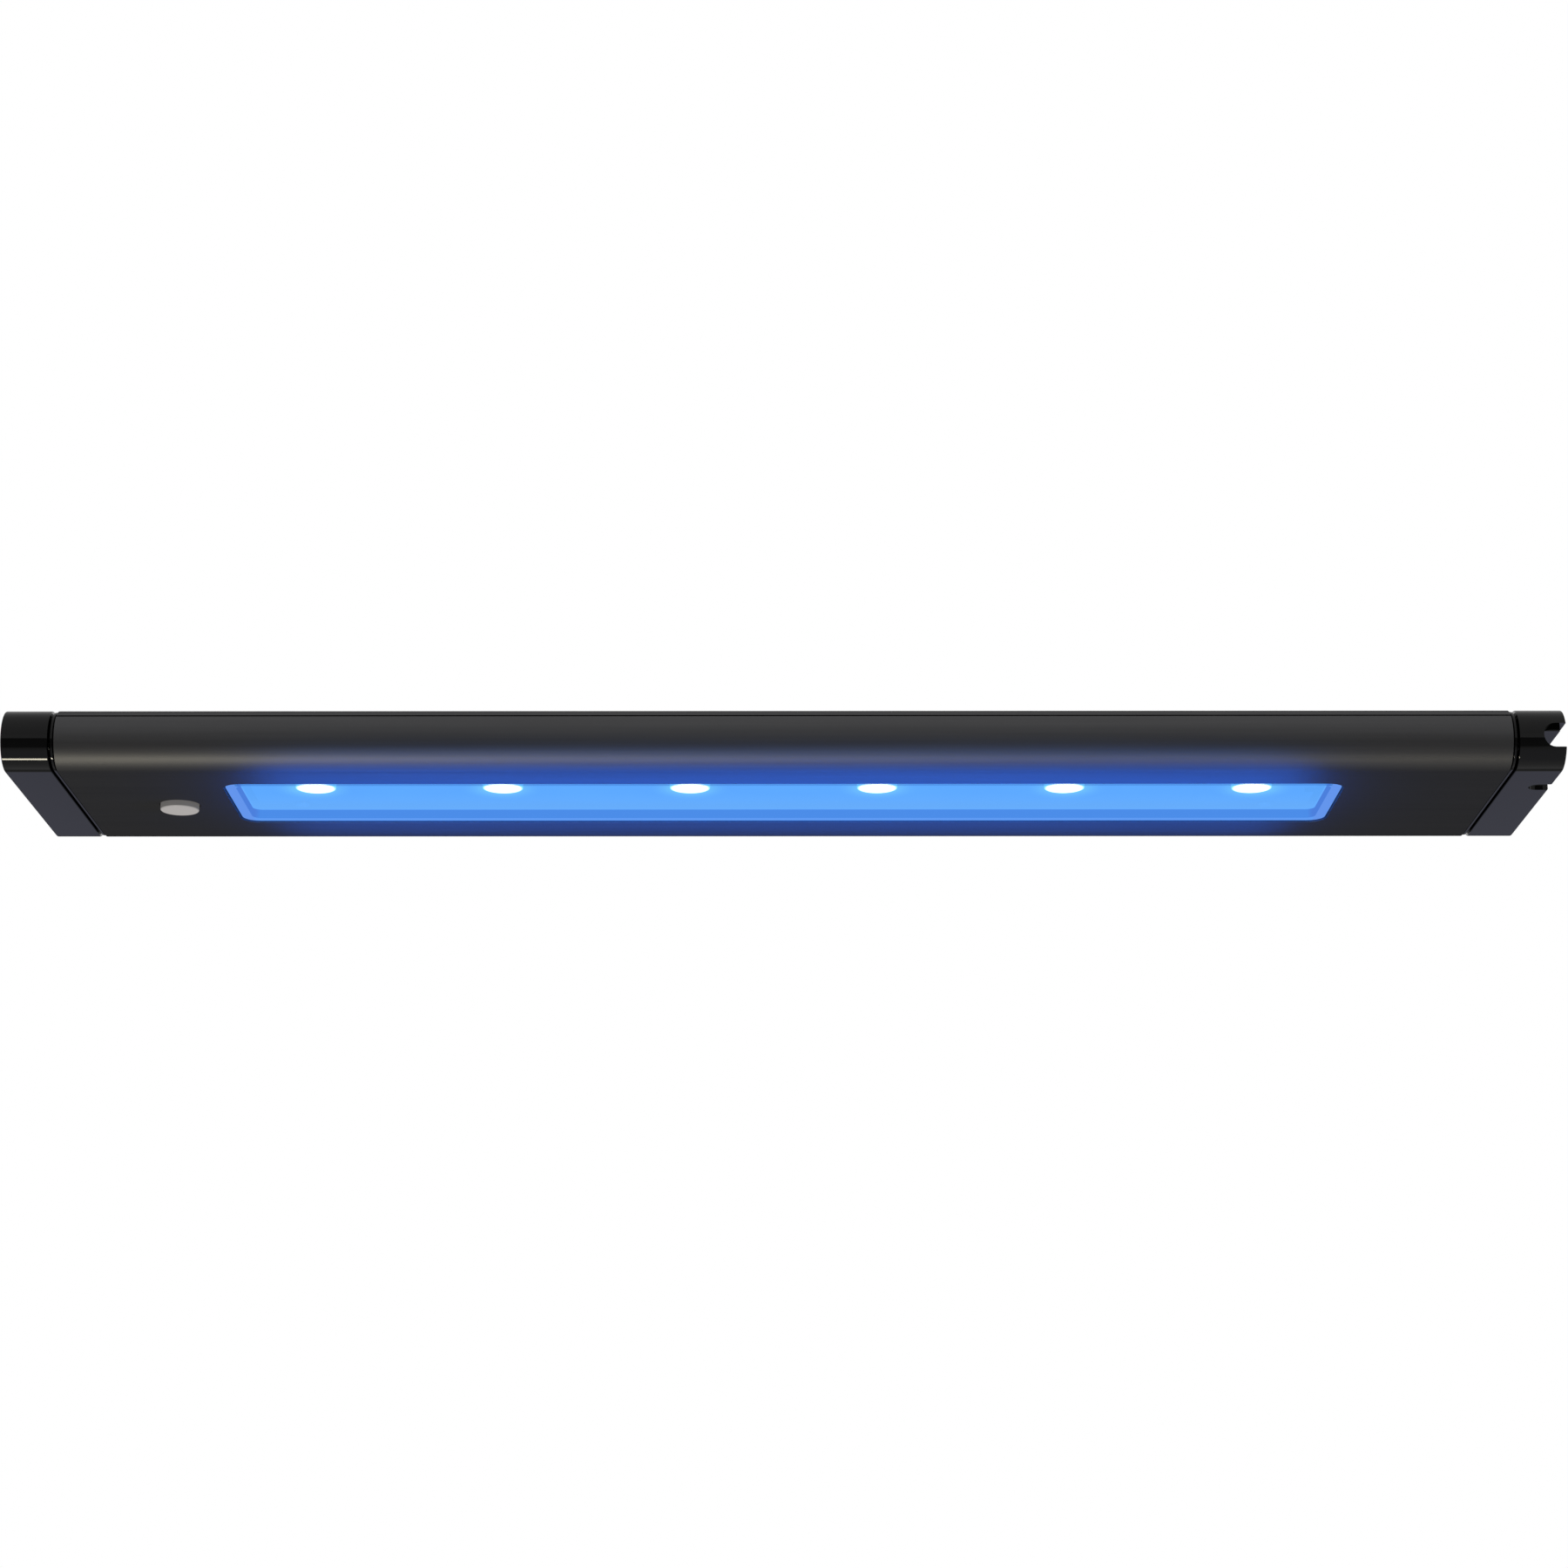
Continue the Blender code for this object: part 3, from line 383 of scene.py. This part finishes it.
def plain(name, low, high, roughness, metallic=0.0, scale=400.0, relief=0.05):
    """A finish for the inner and small pieces: cloudy colour, varied roughness, fine bump."""
    paint = Paint("look_" + name)
    cloud = paint.noise(scale)
    paint.cloudy(cloud, low, high)
    paint.rough(paint.span(cloud, roughness - 0.05, roughness + 0.05))
    paint.set(Metallic=metallic)
    paint.bump(cloud, relief)
    return paint.material


def circuit_green():
    """Solder mask with copper tracks showing through as paler lines."""
    paint = Paint("look_green_board")
    tracks = paint.node("ShaderNodeTexBrick")
    tracks.inputs["Scale"].default_value = 420.0
    tracks.inputs["Mortar Size"].default_value = 0.03
    tracks.inputs["Color1"].default_value = (0.012, 0.11, 0.04, 1.0)
    tracks.inputs["Color2"].default_value = (0.016, 0.14, 0.05, 1.0)
    tracks.inputs["Mortar"].default_value = (0.03, 0.24, 0.09, 1.0)
    paint.link(paint.coordinates(), tracks.inputs["Vector"])
    paint.colour(tracks.outputs["Color"])
    paint.rough(paint.span(paint.noise(900.0), 0.25, 0.38))
    paint.bump(tracks.outputs["Fac"], 0.2, 0.03 * MM)
    return paint.material


def all_materials():
    """One material for each slot of the record."""
    return {
        "anodised_black": anodised_black(),
        "cap_black": gloss_black(),
        "blue_lens": lit_lens(),
        "led_phosphor": lit_led(),
        "frosted_button": frosted_button(),
        "green_board": circuit_green(),
        "white_board": plain("white_board", (0.70, 0.73, 0.76), (0.78, 0.80, 0.82), 0.35),
        "thermal_pad": plain("thermal_pad", (0.40, 0.46, 0.55), (0.48, 0.53, 0.60), 0.8,
                             scale=900.0, relief=0.3),
        "seal_silicone": plain("silicone", (0.030, 0.030, 0.033), (0.045, 0.045, 0.048), 0.55),
        "chip_black": plain("chip", (0.022, 0.022, 0.023), (0.032, 0.032, 0.033), 0.5,
                            scale=2500.0, relief=0.2),
        "capacitor_can": plain("can", (0.62, 0.63, 0.65), (0.72, 0.73, 0.75), 0.28, 1.0),
        "contact_metal": plain("contact", (0.75, 0.60, 0.30), (0.85, 0.70, 0.38), 0.25, 1.0),
        "screw_steel": plain("steel", (0.50, 0.50, 0.51), (0.62, 0.62, 0.63), 0.30, 1.0, 1800.0),
        "wire_red": plain("wire_red", (0.38, 0.015, 0.012), (0.48, 0.022, 0.018), 0.42),
        "wire_black": plain("wire_black", (0.016, 0.016, 0.017), (0.026, 0.026, 0.027), 0.42),
        "wire_white": plain("wire_white", (0.62, 0.62, 0.60), (0.72, 0.72, 0.70), 0.42),
    }


# ---------------------------------------------------------------- pieces

def body_of(node):
    """The body that carries a CAD node."""
    bodies = frame["record"]["behaviour"]["bodies"]
    return next(body for body, nodes in bodies.items() if node in nodes)


def slot_of(node):
    """The record's material slot of a CAD node."""
    rows = frame["record"]["subparts"]
    return next(row["material_slot"] for row in rows if row["node"] == node)


def add(name, data):
    """Put a new object in the scene."""
    made = bpy.data.objects.new(name, data)
    bpy.context.scene.collection.objects.link(made)
    return made


def stand_for(piece, node, looks):
    """Finish a piece that replaces a CAD node: its material, its slot and its body."""
    slot = slot_of(node)
    piece.data.materials.clear()
    piece.data.materials.append(looks[slot])
    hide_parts(node)
    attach(piece, body_of(node))


def fine_shell(name, node, looks, width, segments):
    """A smooth twin of a CAD node: faces rejoined, edges rounded, normals weighted by area."""
    mesh = frame["nodes"][node].data.copy()
    mesh.name = name
    build = bmesh.new()
    build.from_mesh(mesh)
    bmesh.ops.remove_doubles(build, verts=build.verts, dist=SHELL_WELD)
    bmesh.ops.dissolve_limit(build, angle_limit=math.radians(FLAT_DEGREES),
                             verts=build.verts, edges=build.edges)
    build.to_mesh(mesh)
    build.free()
    if "custom_normal" in mesh.attributes:
        mesh.attributes.remove(mesh.attributes["custom_normal"])
    mesh.shade_smooth()
    piece = add(name, mesh)
    bevel = piece.modifiers.new("rounded", "BEVEL")
    bevel.width = width
    bevel.segments = segments
    bevel.limit_method = "ANGLE"
    bevel.angle_limit = math.radians(BEVEL_DEGREES)
    bevel.use_clamp_overlap = True
    bevel.harden_normals = False
    normals = piece.modifiers.new("normals", "WEIGHTED_NORMAL")
    normals.keep_sharp = True
    normals.weight = NORMAL_WEIGHT
    stand_for(piece, node, looks)


def shells(looks):
    """The outer pieces, each with edges rounded as its real edges are."""
    for name, node, width, segments in (
            ("housing_shell", "lower_housing", 0.06, 3),
            ("top_shell", "top_plate", 0.06, 3),
            ("cap_shell_left", "left_end_cap", 0.06, 3),
            ("cap_shell_right", "right_end_cap", 0.06, 3),
            ("ring_left", "left_trim_ring", 0.03, 2),
            ("ring_right", "right_trim_ring", 0.03, 2),
            ("lens", "window_lens", 0.05, 3),
            ("button_cap", "power_button", 0.08, 3)):
        fine_shell(name, node, looks, width * MM, segments)


def lathe(name, profile, centre):
    """A (radius, height) profile, from the axis above to the axis below, turned about it."""
    (_, top), *rings, (_, bottom) = profile
    points = [(0.0, 0.0, top), (0.0, 0.0, bottom)]
    for radius, height in rings:
        for i in range(ROUND_STEPS):
            turn = 2 * math.pi * i / ROUND_STEPS
            points.append((radius * math.cos(turn), radius * math.sin(turn), height))
    last = len(points) - ROUND_STEPS
    faces = []
    for i in range(ROUND_STEPS):
        j = (i + 1) % ROUND_STEPS
        faces.append((0, 2 + i, 2 + j))
        for upper in range(2, last, ROUND_STEPS):
            lower = upper + ROUND_STEPS
            faces.append((upper + i, lower + i, lower + j, upper + j))
        faces.append((last + i, 1, last + j))
    mesh = bpy.data.meshes.new(name)
    mesh.from_pydata(points, [], faces)
    mesh.shade_smooth()
    mesh.set_sharp_from_angle(angle=math.radians(SHARP_DEGREES))
    piece = add(name, mesh)
    piece.location = centre
    return piece


def led_profile(radius, tall):
    """(radius, height) points of an LED, from its back down the side and over the dome."""
    shoulder = LED_SHOULDER_WIDTH * radius
    dome_edge = LED_DOME_RADIUS * radius
    profile = [(0.0, tall), (radius, tall), (radius, LED_SHOULDER_TOP * tall)]
    for i in range(1, LED_SHOULDER_STEPS + 1):
        turn = math.radians(90.0 * i / LED_SHOULDER_STEPS)
        profile.append((radius - shoulder + shoulder * math.cos(turn),
                        LED_SHOULDER_TOP * tall - LED_SHOULDER_DROP * tall * math.sin(turn)))
    profile.append((dome_edge, LED_DOME_FOOT * tall))
    for i in range(LED_DOME_STEPS, -1, -1):
        share = i / LED_DOME_STEPS
        profile.append((dome_edge * share, LED_DOME_SAG * tall * share * share))
    return profile


def emitters(looks):
    """Each LED: a round package whose rounded shoulder frames a low dome."""
    for node in [name for name in frame["nodes"] if name.startswith("led_emitter_")]:
        low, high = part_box(node)
        profile = led_profile((high.x - low.x) / 2, high.z - low.z)
        centre = ((low.x + high.x) / 2, (low.y + high.y) / 2, low.z)
        piece = lathe("lit_" + node, profile, centre)
        piece.visible_diffuse = False
        stand_for(piece, node, looks)


def finish_nodes(looks):
    """Give every CAD node that stays its procedural material."""
    for name, node in frame["nodes"].items():
        if not node.hide_render:
            node.data.materials.clear()
            node.data.materials.append(looks[slot_of(name)])


# ---------------------------------------------------------------- studio

def studio_floor():
    """Plain pale floor, far below the light."""
    mesh = bpy.data.meshes.new("floor")
    build = bmesh.new()
    bmesh.ops.create_grid(build, x_segments=1, y_segments=1, size=FLOOR_SIZE / 2)
    build.to_mesh(mesh)
    build.free()
    floor = add("floor", mesh)
    floor.location = (0.0, 0.0, FLOOR_HEIGHT)
    floor.visible_glossy = False
    floor.visible_diffuse = False
    paint = Paint("look_floor")
    cloud = paint.noise(3.0, 2.0)
    shade = tuple(0.97 * value for value in FLOOR_COLOUR)
    paint.colour(paint.blend(cloud, shade, FLOOR_COLOUR))
    paint.set(Roughness=0.9)
    mesh.materials.append(paint.material)


def area_light(name, place, target, size, radiance, colour=WHITE, glossy=True, diffuse=True,
               only=None):
    """A rectangular light aimed at a point, its long side along X; only is what it may light."""
    data = bpy.data.lights.new(name, "AREA")
    data.shape = "RECTANGLE"
    data.size, data.size_y = size
    data.energy = radiance * math.pi * size[0] * size[1]
    data.color = colour
    light = add(name, data)
    back = (Vector(place) - Vector(target)).normalized()
    side = (Vector((1.0, 0.0, 0.0)) - back * back.x).normalized()
    turn = Matrix((side, back.cross(side), back)).transposed()
    light.matrix_world = Matrix.Translation(place) @ turn.to_4x4()
    light.visible_camera = False
    light.visible_glossy = glossy
    light.visible_diffuse = diffuse
    if only is not None:
        light.light_linking.receiver_collection = only


def ramp(tree, value, stops):
    """A colour by a value from 0 to 1; a stop is a place, a grey level and how blue it is."""
    made = tree.nodes.new("ShaderNodeValToRGB")
    elements = made.color_ramp.elements
    while len(elements) > 1:
        elements.remove(elements[-1])
    for i, (place, level, blue) in enumerate(stops):
        element = elements[0] if i == 0 else elements.new(place)
        element.position = place
        tint = (1.0 - 0.3 * blue, 1.0 - 0.2 * blue, 1.0 + blue)
        element.color = (*(level * share for share in tint), 1.0)
    tree.links.new(value, made.inputs[0])
    return made.outputs[0]


def mix_shaders(tree, factor, first, second):
    """The first shader where the factor is 0 and the second where it is 1."""
    made = tree.nodes.new("ShaderNodeMixShader")
    for socket, source in zip(made.inputs, (factor, first, second)):
        tree.links.new(source, socket)
    return made.outputs[0]


def studio_world():
    """White behind the light, grey studio walls for it to reflect, and a soft top light."""
    world = bpy.data.worlds.new("studio")
    bpy.context.scene.world = world
    world.use_nodes = True
    tree = world.node_tree
    background = tree.nodes["Background"]
    place = tree.nodes.new("ShaderNodeTexCoord")
    split = tree.nodes.new("ShaderNodeSeparateXYZ")
    tree.links.new(place.outputs["Generated"], split.inputs[0])
    height = tree.nodes.new("ShaderNodeMapRange")
    height.inputs["From Min"].default_value = -1.0
    height.inputs["From Max"].default_value = 1.0
    tree.links.new(split.outputs[2], height.inputs["Value"])
    front = ramp(tree, height.outputs["Result"], FRONT_WALL)
    back = ramp(tree, height.outputs["Result"], BACK_WALL)
    side = tree.nodes.new("ShaderNodeMapRange")
    side.inputs["From Min"].default_value, side.inputs["From Max"].default_value = WALL_TURN
    tree.links.new(split.outputs[1], side.inputs["Value"])
    mix = tree.nodes.new("ShaderNodeMix")
    mix.data_type = "RGBA"
    tree.links.new(side.outputs["Result"], mix.inputs["Factor"])
    tree.links.new(front, mix.inputs[6])
    tree.links.new(back, mix.inputs[7])
    tree.links.new(mix.outputs[2], background.inputs["Color"])
    path = tree.nodes.new("ShaderNodeLightPath")
    soft = tree.nodes.new("ShaderNodeBackground")
    tree.links.new(ramp(tree, height.outputs["Result"], SOFT_LIGHT), soft.inputs["Color"])
    lit = mix_shaders(tree, path.outputs["Is Diffuse Ray"], background.outputs[0], soft.outputs[0])
    white = tree.nodes.new("ShaderNodeBackground")
    white.inputs["Color"].default_value = (*WHITE, 1.0)
    seen = mix_shaders(tree, path.outputs["Is Camera Ray"], lit, white.outputs[0])
    tree.links.new(seen, tree.nodes["World Output"].inputs["Surface"])


def studio_lights():
    """A soft light overhead, warm light from below, and the window's own light on the metal."""
    area_light("overhead", OVERHEAD_PLACE, (0.0, 0.0, 0.0), OVERHEAD_SIZE, OVERHEAD_RADIANCE,
               glossy=False)
    cap_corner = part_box("left_end_cap")[0]
    near = Vector((cap_corner.x, cap_corner.y, 0.0))
    lamp = near + LAMP_DISTANCE * Vector(LAMP_DIRECTION).normalized()
    area_light("warm_lamp", lamp, near, LAMP_SIZE, LAMP_RADIANCE, LAMP_WARM, diffuse=False)

    metal = bpy.data.collections.new("lit_metal")
    for name in ("housing_shell", "top_shell"):
        metal.objects.link(bpy.data.objects[name])
    area_light("warm_fill", (FILL_OFFSET, lamp.y, lamp.z), (FILL_OFFSET, near.y, 0.0),
               (FILL_LENGTH, LAMP_SIZE[1]), FILL_RADIANCE, LAMP_WARM, diffuse=False, only=metal)
    area_light("spill_haze", (0.0, near.y - HAZE_FORWARD, -HAZE_DROP),
               (0.0, near.y + HAZE_AIM_BACK, HAZE_AIM_HEIGHT),
               (2 * SPILL_HALF_LENGTH, HAZE_WIDTH), HAZE_RADIANCE, HAZE_BLUE,
               diffuse=False, only=metal)
    for name, (front, back), radiance in SPILLS:
        middle = (front + back) / 2
        area_light(name, (0.0, middle, -SPILL_DROP), (0.0, middle, 0.0),
                   (2 * SPILL_HALF_LENGTH, back - front), radiance, SPILL_BLUE,
                   glossy=False, only=metal)


def camera():
    """The view from below and in front."""
    data = bpy.data.cameras.new("camera")
    data.lens = CAMERA_LENS
    data.sensor_width = CAMERA_SENSOR
    data.clip_start = 0.01
    made = add("camera", data)
    made.location = CAMERA_PLACE
    made.rotation_euler = (math.radians(90.0 + CAMERA_PITCH), 0.0, math.radians(CAMERA_YAW))
    bpy.context.scene.camera = made


# ---------------------------------------------------------------- assembly

camera()
looks = all_materials()
shells(looks)
emitters(looks)
finish_nodes(looks)
studio_floor()
studio_world()
studio_lights()
bpy.context.scene.view_settings.view_transform = "Standard"
